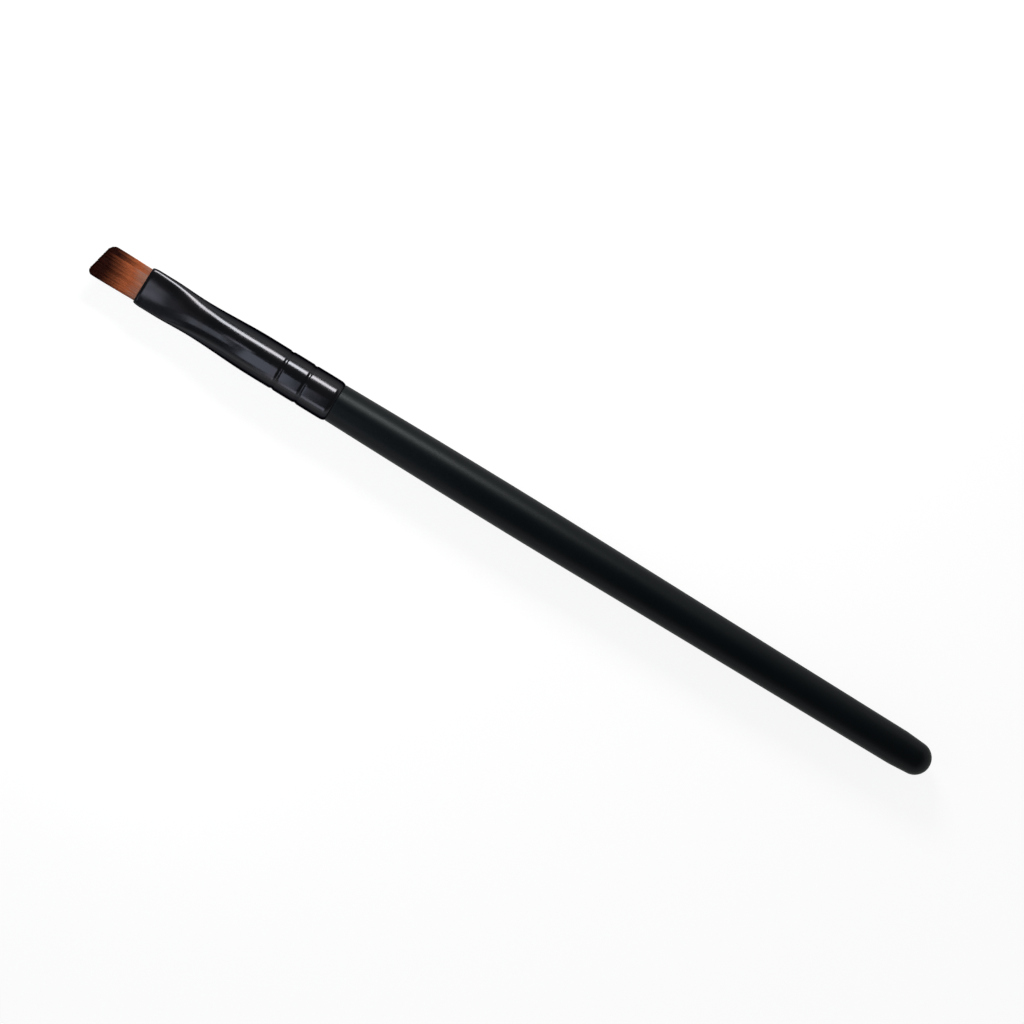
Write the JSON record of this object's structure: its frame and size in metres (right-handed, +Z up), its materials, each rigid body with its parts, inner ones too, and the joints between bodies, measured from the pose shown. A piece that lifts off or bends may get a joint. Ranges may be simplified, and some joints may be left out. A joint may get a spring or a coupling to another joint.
{
  "type": "makeup brush",
  "caption": "Small flat makeup brush with a slanted synthetic tuft, a crimped tube ferrule pressed flat at its mouth, and a slim tapered lacquered handle.",
  "frame": {"origin": "below the middle of the brush, on the surface it lies on", "axes": "+X along the brush from the bristles to the end of the handle, +Z up, square to the wide face of the tuft"},
  "size_m": [0.165, 0.0074, 0.0075],
  "materials": {
    "black_lacquer": "satin black lacquer over turned wood",
    "black_anodised": "glossy black anodised tube",
    "brown_filament": "reddish brown synthetic filament with dark tips",
    "amber_resin": "cured resin"
  },
  "bodies": {
    "root": {"handle": "black_lacquer", "ferrule": "black_anodised", "bristles": "brown_filament", "glue_plug": "amber_resin"}
  },
  "joints": []
}
